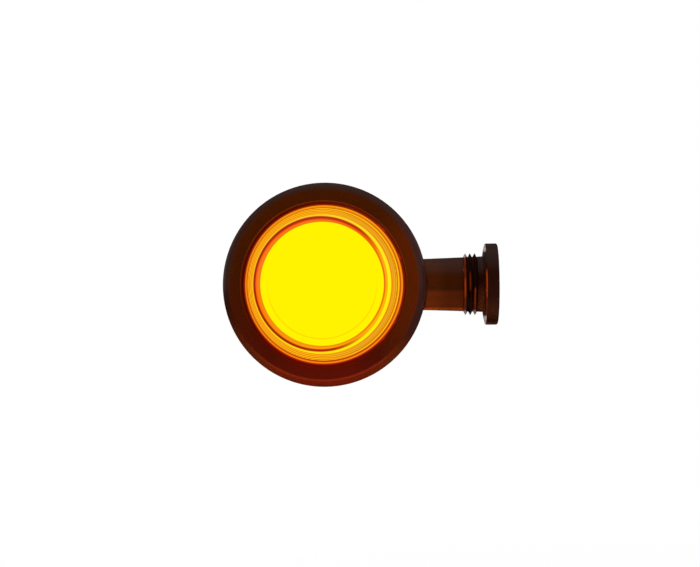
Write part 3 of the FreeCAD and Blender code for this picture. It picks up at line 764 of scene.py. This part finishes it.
def ribbed_sleeve():
    """The outside of a rubber sleeve with sharp ribs round it."""
    pattern = Pattern(
        "Ribbed Sleeve",
        ["Head End", "Foot End", "Sleeve Radius", "First Rib", "Rib Pitch", "Rib Base", "Rib Height"],
        ["Rib Count", "Stations", "Segments"],
    )
    given = pattern.given
    sheet, share, angle = pattern.sheet()
    x = pattern.run(share, given["Head End"], given["Foot End"])
    from_first = pattern.less(x, given["First Rib"])
    nearest = pattern.calc("ROUND", pattern.calc("DIVIDE", from_first, given["Rib Pitch"]))
    last = pattern.less(given["Rib Count"], 1)
    tip = pattern.product(pattern.held(nearest, 0.0, last), given["Rib Pitch"])
    foot = pattern.product(given["Rib Base"], 0.5)
    fall = pattern.calc("DIVIDE", pattern.off(from_first, tip), foot)
    rise = pattern.calc("MAXIMUM", pattern.less(1.0, fall), 0.0)
    blunt = pattern.calc("SMOOTH_MIN", rise, 0.97, 0.08)
    radius = pattern.plus(blunt, given["Rib Height"], given["Sleeve Radius"])
    y, z = pattern.turned(angle, radius)
    pattern.end_with(pattern.wrapped(sheet, x, y, z))
    return pattern


def prism_slope():
    """The lens's slope: prism rings from its base to its shoulder, crossed by shallow spiral flutes."""
    pattern = Pattern(
        "Prism Slope",
        ["Base Radius", "Base Y", "Shoulder Radius", "Shoulder Y", "Ring Depth", "Flute Depth"],
        ["Ring Count", "Flute Count", "Stations", "Segments"],
    )
    given = pattern.given
    sheet, share, angle = pattern.sheet()
    inward = pattern.less(given["Shoulder Radius"], given["Base Radius"])
    forward = pattern.less(given["Shoulder Y"], given["Base Y"])
    square = pattern.plus(inward, inward, pattern.product(forward, forward))
    length = pattern.calc("SQRT", square)
    rings = pattern.calc("PINGPONG", pattern.product(share, given["Ring Count"]), 0.5)
    turns = pattern.calc("DIVIDE", angle, TURN)
    twist = pattern.product(share, 6.0)
    flutes = pattern.plus(turns, given["Flute Count"], twist)
    flutes = pattern.calc("PINGPONG", flutes, 0.5)
    depth = pattern.product(rings, given["Ring Depth"])
    depth = pattern.plus(flutes, given["Flute Depth"], depth)
    base = pattern.between(share, 0.0, 0.06)
    depth = pattern.product(depth, base, pattern.between(share, 1.0, 0.9))
    across = pattern.calc("DIVIDE", forward, length)
    sink = pattern.calc("DIVIDE", inward, length)
    radius = pattern.plus(share, inward, given["Base Radius"])
    radius = pattern.plus(depth, across, radius)
    y = pattern.plus(share, forward, given["Base Y"])
    y = pattern.less(y, pattern.product(depth, sink))
    side, z = pattern.turned(angle, radius)
    x = pattern.calc("ADD", side, HEAD_X)
    pattern.end_with(pattern.wrapped(sheet, x, y, z))
    return pattern


def tapped_bore():
    """The threaded wall of a bore along the stem, with a countersunk mouth."""
    pattern = Pattern(
        "Tapped Bore",
        ["Inner End", "Mouth", "Crest Radius", "Thread Depth", "Thread Pitch", "Countersink"],
        ["Stations", "Segments"],
    )
    given = pattern.given
    sheet, share, angle = pattern.sheet()
    x = pattern.run(share, given["Inner End"], given["Mouth"])
    turns = pattern.calc("DIVIDE", angle, TURN)
    phase = pattern.calc("ADD", pattern.calc("DIVIDE", x, given["Thread Pitch"]), turns)
    tooth = pattern.product(pattern.calc("PINGPONG", phase, 0.5), 2.0)
    tooth = pattern.held(tooth, 0.12, 0.9)
    from_mouth = pattern.less(given["Mouth"], x)
    cone = pattern.less(1.0, pattern.calc("DIVIDE", from_mouth, given["Countersink"]))
    tooth = pattern.calc("MAXIMUM", tooth, pattern.calc("MAXIMUM", cone, 0.0))
    radius = pattern.plus(tooth, given["Thread Depth"], given["Crest Radius"])
    y, z = pattern.turned(angle, radius)
    pattern.end_with(pattern.wrapped(sheet, x, y, z))
    return pattern


def ring_of_copies():
    """Copies of a shape set evenly about the lamp's axis."""
    pattern = Pattern("Ring Of Copies", ["Axis X", "First Turn"], ["Copies"])
    given = pattern.given
    axis = pattern.product(given["Axis X"], MM)
    back = pattern.made("ShaderNodeCombineXYZ", [pattern.product(axis, -1.0)])
    shape = pattern.made("GeometryNodeTransform", {"Geometry": given["Geometry"], "Translation": back})
    centre = pattern.made("ShaderNodeCombineXYZ", [axis])
    points = pattern.made("GeometryNodePoints", {"Count": given["Copies"], "Position": centre})
    step = pattern.calc("DIVIDE", TURN, given["Copies"])
    number = pattern.made("GeometryNodeInputIndex")
    turn = pattern.plus(number, step, given["First Turn"])
    turned_by = pattern.made("ShaderNodeCombineXYZ", [0.0, turn])
    pattern.end_with(pattern.made("GeometryNodeInstanceOnPoints", {
        "Points": points,
        "Instance": shape,
        "Rotation": turned_by,
    }))
    return pattern


def coil():
    """A close-ended coil of round wire along the stem."""
    lengths = ["Start", "Length", "Mean Radius", "Wire Radius"]
    pattern = Pattern("Coil", lengths + ["Turns"], ["Points Per Turn"])
    given = pattern.given
    metres = {}
    for length in lengths:
        metres[length] = pattern.product(given[length], MM)
    line = pattern.made("GeometryNodeCurveSpiral", {
        "Resolution": given["Points Per Turn"],
        "Rotations": given["Turns"],
        "Start Radius": metres["Mean Radius"],
        "End Radius": metres["Mean Radius"],
        "Height": metres["Length"],
    })
    wire = pattern.made("GeometryNodeCurvePrimitiveCircle", {
        "Resolution": 14,
        "Radius": metres["Wire Radius"],
    })
    tube = pattern.made("GeometryNodeCurveToMesh", {
        "Curve": line,
        "Profile Curve": wire,
        "Fill Caps": True,
    })
    start = pattern.made("ShaderNodeCombineXYZ", [metres["Start"]])
    pattern.end_with(pattern.made("GeometryNodeTransform", {
        "Geometry": tube,
        "Translation": start,
        "Rotation": (0, math.radians(90), 0),
    }))
    return pattern


def joined(name, meshes, finish):
    """Welds meshes into one closed piece."""
    work = bmesh.new()
    for mesh in meshes:
        work.from_mesh(mesh)
    return finished(name, tidied(work, 0.004), finish)


# ---- pieces

def make_bezel(finish):
    """Front ring: flat face, a broad rounded edge, a softened bore edge and the skirt behind."""
    start = Vector((BEZEL_FACE, BEZEL_FRONT))
    end = Vector((HEAD_RADIUS, SEAM))
    chord = end - start
    inward = Vector((-chord.y, chord.x)).normalized()
    reach = math.sqrt(BEZEL_ARC ** 2 - (chord.length / 2) ** 2)
    centre = (start + end) / 2 + inward * reach
    first = math.degrees(math.atan2(start.y - centre.y, start.x - centre.x))
    last = math.degrees(math.atan2(end.y - centre.y, end.x - centre.x))
    section = eased([
        (BEZEL_BORE, GASKET_FRONT),
        (BEZEL_BORE, BEZEL_FRONT + 0.5, 0.12),
        (BEZEL_BORE + 0.5, BEZEL_FRONT, 0.12),
        (BEZEL_FACE, BEZEL_FRONT),
    ])
    section += arc(centre, BEZEL_ARC, first, last, 14)[1:]
    section += [(27.35, SEAM), (27.35, -5.6), (25.95, -5.6), (25.95, GASKET_FRONT)]
    piece = finished("bezel_front_ring", tidied(spun(section, on_head, 256)), finish)
    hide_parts("bezel_ring")
    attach(piece, "lamp")


def make_gasket(finish):
    """Thin gasket ring that shows between the bezel and the lens, with a rounded lip."""
    section = eased([
        (GASKET_BORE, GASKET_FRONT, 0.2),
        (LENS_RIM, GASKET_FRONT),
        (LENS_RIM, LENS_BASE_Y),
        (GASKET_BORE, LENS_BASE_Y, 0.05),
    ])
    piece = finished("red_lens_gasket", tidied(spun(section, on_head)), finish)
    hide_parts("lens_gasket")
    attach(piece, "lamp")


def make_lens(finish, segments=272):
    """Raised amber lens: flange, ringed slope, rounded shoulder and flat window, hollow behind."""
    slope = prism_slope().use("slope", {
        "Base Radius": LENS_BASE,
        "Base Y": LENS_BASE_Y,
        "Shoulder Radius": SLOPE_TOP[0],
        "Shoulder Y": SLOPE_TOP[1],
        "Ring Depth": 0.06,
        "Flute Depth": 0.03,
        "Ring Count": 8,
        "Flute Count": 136,
        "Stations": 65,
        "Segments": segments,
    }, finish)
    face = -15.8
    front = eased([SLOPE_TOP, (19.6, -14.9, 0.5), (17.7, face, 0.5), (12.0, face), (0, face)], 5)
    back = [
        (0, -14.2),
        (15.8, -14.2),
        (18.0, -13.4),
        (21.3, -8.2),
        (LENS_RIM, -8.2),
        (LENS_RIM, LENS_BASE_Y),
        (LENS_BASE, LENS_BASE_Y),
    ]
    body = as_mesh("lens_body", spun(front + back, on_head, segments, closed=False))
    piece = joined("amber_lens", [body, slope], finish)
    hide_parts("lens")
    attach(piece, "lamp")


def make_boot(finish, segments=160):
    """Rubber boot over the knock joint, between the mount and the stem, where the real one bends."""
    outside = ribbed_sleeve().use("boot", {
        "Head End": BOOT_HEAD,
        "Foot End": BOOT_FOOT,
        "Sleeve Radius": BOOT_RADIUS,
        "First Rib": FIRST_RIB,
        "Rib Pitch": RIB_PITCH,
        "Rib Base": 1.16,
        "Rib Height": 1.1,
        "Rib Count": 3,
        "Stations": 103,
        "Segments": segments,
    }, finish)
    steps = 24
    bore = [(BOOT_HEAD, BOOT_RADIUS)]
    for step in range(steps + 1):
        bore.append((BOOT_HEAD + (BOOT_FOOT - BOOT_HEAD) * step / steps, BOOT_BORE))
    bore.append((BOOT_FOOT, BOOT_RADIUS))
    inside = as_mesh("bore", spun(bore, on_stem, segments, closed=False))
    piece = joined("ribbed_boot", [outside, inside], finish)
    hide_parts("flex_boot")
    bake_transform(piece)


def make_spring(finish):
    """Coil spring inside the boot, which brings a knocked lamp back."""
    low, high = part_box("flex_spring")
    wire_radius = 0.5
    wire = coil().use("spring", {
        "Start": low.x / MM + wire_radius,
        "Length": (high.x - low.x) / MM - 2 * wire_radius,
        "Mean Radius": 5.025,
        "Wire Radius": wire_radius,
        "Turns": 4.5,
        "Points Per Turn": 40,
    }, finish)
    piece = joined("coil_spring", [wire], finish)
    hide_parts("flex_spring")
    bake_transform(piece)


def make_flange(finish):
    """Mounting flange with its step, its collar and the groove for the face seal."""
    section = eased([
        (-1.0, 4.27),
        (-4.4, 4.27),
        (-4.4, 5.8),
        (BOOT_FOOT, 5.8),
        (BOOT_FOOT, 8.2, 0.08),
        (-4.3, 8.3, 0.1),
        (-4.0, 10.6, 0.12),
        (STEP_FACE, 10.6, 0.05),
        (STEP_FACE, FLANGE_RADIUS - 0.3, 0.1),
        (STEP_FACE + 0.3, FLANGE_RADIUS, 0.15),
        (-0.3, FLANGE_RADIUS, 0.15),
        (0.0, FLANGE_RADIUS - 0.3, 0.1),
        (0.0, 10.0, 0.08),
        (-1.1, 10.0),
        (-1.1, 8.4),
        (0.0, 8.4, 0.08),
        (0.0, 5.62, 0.1),
        (-1.0, 5.62),
    ])
    piece = finished("stepped_flange", tidied(spun(section, on_stem, 192)), finish)
    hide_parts("mount_flange")
    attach(piece, "mount")


def make_insert(finish, segments=96):
    """Steel insert with a real thread for the hollow bolt."""
    thread = tapped_bore().use("thread", {
        "Inner End": INSERT_END,
        "Mouth": 0.0,
        "Crest Radius": 3.4,
        "Thread Depth": 0.68,
        "Thread Pitch": 1.25,
        "Countersink": 0.7,
        "Stations": 113,
        "Segments": segments,
    }, finish)
    work = bmesh.new()
    work.from_mesh(thread)
    bmesh.ops.remove_doubles(work, verts=work.verts, dist=1e-6)
    ends = {}
    for edge in work.edges:
        if edge.is_boundary:
            mouth = (edge.verts[0].co.x + edge.verts[1].co.x) / 2 > INSERT_END / 2 * MM
            ends.setdefault(mouth, []).append(edge)
    for mouth, loop in ends.items():
        target = 4.9 if mouth else 4.2
        grown = bmesh.ops.extrude_edge_only(work, edges=loop)["geom"]
        for vertex in [item for item in grown if isinstance(item, bmesh.types.BMVert)]:
            out = math.hypot(vertex.co.y, vertex.co.z)
            vertex.co.y *= target * MM / out
            vertex.co.z *= target * MM / out
    head = [(0.0, 4.9), (0.0, 5.45), (-0.15, 5.6), (-1.0, 5.6), (-1.0, 4.25)]
    shank = [(INSERT_END, 4.2), (INSERT_END + 0.05, 4.25), (-1.0, 4.25)]
    for points in (head, shank):
        spun(points, on_stem, segments, closed=False, work=work)
    piece = finished("tapped_insert", tidied(work, 0.003), finish)
    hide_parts("threaded_insert")
    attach(piece, "mount")


def make_rear_cover(finish):
    """Low domed cover with seven turned grooves, its spigot, its seal groove and the vent's boss."""
    foot = 19.75
    crown = 3.35
    rise = 1.8
    inside = 7.2
    spigot_end = 5.6

    def dome(radius):
        return COVER_EDGE + rise * (foot ** 2 - radius ** 2) / (foot ** 2 - crown ** 2)

    section = [(COVER_RADIUS, inside), (COVER_RADIUS, COVER_EDGE, 0.3), (foot, COVER_EDGE)]
    for step in range(38):
        radius = 18.6 - 0.4 * step
        grooved = step % 4 == 2 and 6 < radius < 17.5
        section.append((radius, dome(radius) - (0.18 if grooved else 0)))
    top = COVER_EDGE + rise
    section += [(crown, top), (2.0, top), (2.0, spigot_end), (3.6, spigot_end), (3.6, 9.0)]
    section += [(16.85, inside), (16.85, spigot_end), (19.35, spigot_end), (19.35, 5.95)]
    section += [(18.45, 5.95), (18.45, 6.85), (19.35, 6.85), (19.35, inside)]
    piece = finished("grooved_rear_cover", tidied(spun(eased(section), on_head)), finish)
    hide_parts("rear_cover")
    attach(piece, "lamp")


def screw_shape(seat, height, head, shank, tip, flats, depth, ring, sides=36):
    """One button-head screw with a hexagon socket, pointing along Y at the top of a ring."""
    work = bmesh.new()

    def loop(radius, y, corners=0):
        """A round loop of vertices, or one with corners whose flats lie at the radius."""
        row = []
        for side in range(sides):
            angle = TURN * side / sides
            reach = radius
            if corners:
                half = TURN / corners / 2
                reach = radius / math.cos((angle + half) % (2 * half) - half)
            place = (HEAD_X + reach * math.cos(angle), y, ring + reach * math.sin(angle))
            row.append(work.verts.new(Vector(place) * MM))
        return row

    top = seat + height
    rows = [
        loop(0.02, tip),
        loop(shank * 0.6, tip),
        loop(shank, tip + 0.4),
        loop(shank, seat),
        loop(head - 0.08, seat),
        loop(head, seat + 0.1),
        loop(head * 0.97, seat + height * 0.5),
        loop(head * 0.86, seat + height * 0.82),
        loop(head * 0.68, top),
        loop(flats / 2, top, 6),
        loop(flats / 2, top - depth, 6),
        loop(0.02, top - depth - 0.1),
    ]
    for here, there in zip(rows, rows[1:]):
        for side in range(sides):
            after = (side + 1) % sides
            work.faces.new((here[side], here[after], there[after], there[side]))
    work.faces.new(rows[0])
    work.faces.new(rows[-1])
    bmesh.ops.recalc_face_normals(work, faces=work.faces)
    return as_mesh("screw", work)


def make_cover_screws(finish):
    """Three screws set evenly about the lamp."""
    shape = screw_shape(
        seat=COVER_EDGE, height=1.0, head=1.9, shank=1.0, tip=3.8, flats=1.5, depth=0.6, ring=21.95
    )
    values = {"Axis X": HEAD_X, "First Turn": 0.0, "Copies": 3}
    work = bmesh.new()
    work.from_mesh(ring_of_copies().use("screws", values, finish, shape))
    piece = finished("cover_screw_set", work, finish)
    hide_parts("cover_screws")
    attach(piece, "lamp")


# ---- studio

def light(name, place, size, power):
    """A soft square lamp that faces the middle of the object."""
    lamp = bpy.data.lights.new(name, "AREA")
    lamp.size = size
    lamp.energy = power
    holder = placed(name, lamp)
    holder.location = place
    aim = Vector((-0.045, 0, 0)) - Vector(place)
    holder.rotation_mode = "QUATERNION"
    holder.rotation_quaternion = aim.to_track_quat("-Z", "Y")
    holder.visible_glossy = False


def build_studio():
    """White surroundings, a pale floor below and soft lamps. Mirrored rays see all of it dimmer."""
    world = bpy.data.worlds.new("studio")
    bpy.context.scene.world = world
    world.use_nodes = True
    bench = Bench(world.node_tree)
    rays = bench.add("ShaderNodeLightPath").outputs
    white = bench.made("ShaderNodeBackground", [(1, 1, 1, 1), 1.0])
    soft = bench.made("ShaderNodeBackground", [(1, 1, 1, 1), 0.12])
    where = bench.add("ShaderNodeTexCoord").outputs["Generated"]
    way = bench.add("ShaderNodeSeparateXYZ", [where]).outputs
    behind = bench.between(way[1], 0.2, 1.0, 0.0, 0.05)
    above = bench.between(way[2], 0.5, 0.97, 0.0, 0.5)
    above = bench.product(above, bench.between(way[1], 0.1, 0.6, 1.0, 0.45))
    beside = bench.between(bench.off(way[0], 0.0), 0.4, 1.0, 0.02, 0.4)
    level = bench.calc("ADD", bench.calc("ADD", behind, above), beside)
    mirrored = bench.made("ShaderNodeBackground", [(1, 1, 1, 1), level])
    seen = bench.made("ShaderNodeMixShader", [rays["Is Glossy Ray"], soft, mirrored])
    direct = bench.calc("MAXIMUM", rays["Is Camera Ray"], rays["Is Transmission Ray"])
    seen = bench.made("ShaderNodeMixShader", [direct, seen, white])
    bench.add("ShaderNodeOutputWorld", [seen])

    floor_mesh = bpy.data.meshes.new("floor")
    half = 4.0
    level = -0.13
    corners = [(-half, -half, level), (half, -half, level), (half, half, level), (-half, half, level)]
    floor_mesh.from_pydata(corners, [], [(0, 1, 2, 3)])
    floor = placed("floor", floor_mesh)
    paper = bpy.data.materials.new("white_paper")
    paper.use_nodes = True
    bench = Bench(paper.node_tree)
    rays = bench.add("ShaderNodeLightPath").outputs
    sheet = bench.made("ShaderNodeBsdfDiffuse", [(0.9, 0.9, 0.9, 1)])
    glow = bench.made("ShaderNodeEmission", [(1, 1, 1, 1), 1.0])
    mirrored = bench.made("ShaderNodeEmission", [(1, 1, 1, 1), 0.01])
    where = bench.add("ShaderNodeTexCoord").outputs["Object"]
    away = bench.between(bench.length(where), 0.1, 0.4, 0.7, 1.0)
    share = bench.product(rays["Is Camera Ray"], away)
    shown = bench.made("ShaderNodeMixShader", [share, sheet, glow])
    shown = bench.made("ShaderNodeMixShader", [rays["Is Glossy Ray"], shown, mirrored])
    bench.add("ShaderNodeOutputMaterial", [shown])
    floor_mesh.materials.append(paper)

    light("left_lamp", (-0.85, -0.55, 0.3), 0.7, 5.6)
    light("right_lamp", (0.8, -0.6, 0.25), 0.7, 6.0)
    light("top_lamp", (-0.05, -0.25, 0.9), 0.7, 3.4)
    light("back_lamp", (-0.2, 0.9, 0.3), 0.8, 9.0)


# ---- dressing

def dress(finishes):
    """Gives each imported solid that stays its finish."""
    for finish, nodes in {
        "housing": ["lamp_housing"],
        "seal_rubber": ["face_seal", "swivel_seal", "bezel_seal", "rear_seal", "vent_plug"],
        "aluminium": ["spindle", "heat_spreader", "capacitor"],
        "spring_steel": ["spring_washer"],
        "zinc_steel": ["spindle_nut", "board_screws"],
        "lit_diffuser": ["diffuser"],
        "lit_led": ["led_chips"],
        "plating": ["reflector"],
        "board": ["led_board"],
        "black_plastic": ["driver_chip", "resistors"],
        "white_plastic": ["board_connector"],
    }.items():
        for node in nodes:
            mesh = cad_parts[node].data
            mesh.materials.clear()
            mesh.materials.append(finishes[finish])


place_camera()
build_studio()

zinc = turned_metal("zinc_plate", tint(206, 208, 210), tint(176, 178, 176), "stem", 0.24)
finishes = {
    "housing": housing_lacquer(),
    "seal_rubber": moulded("seal_rubber", tint(34, 34, 34), tint(24, 24, 24), 0.12, 0.006, 0.55),
    "zinc_steel": zinc,
    "spring_steel": wire_metal(),
    "aluminium": turned_metal(
        "machined_aluminium", tint(222, 222, 224), tint(198, 198, 202), "head", 0.3
    ),
    "lit_diffuser": lit_plastic("lit_diffuser", tint(254, 240, 60), tint(250, 220, 30), 0.9),
    "lit_led": lit_plastic("lit_led", tint(255, 246, 170), tint(255, 238, 120), 1.0),
    "plating": bright_plating(),
    "board": board_mask(),
    "black_plastic": moulded("black_plastic", tint(38, 37, 36), tint(28, 27, 27)),
    "white_plastic": moulded("white_plastic", tint(232, 230, 220), tint(220, 216, 204), 0.4, 0.01, 0.4),
}
dress(finishes)
make_bezel(head_lacquer())
make_gasket(red_gasket())
make_lens(lit_lens())
make_boot(boot_rubber())
make_spring(finishes["spring_steel"])
make_flange(flange_lacquer())
make_insert(zinc)
make_rear_cover(rear_plastic())
make_cover_screws(zinc)
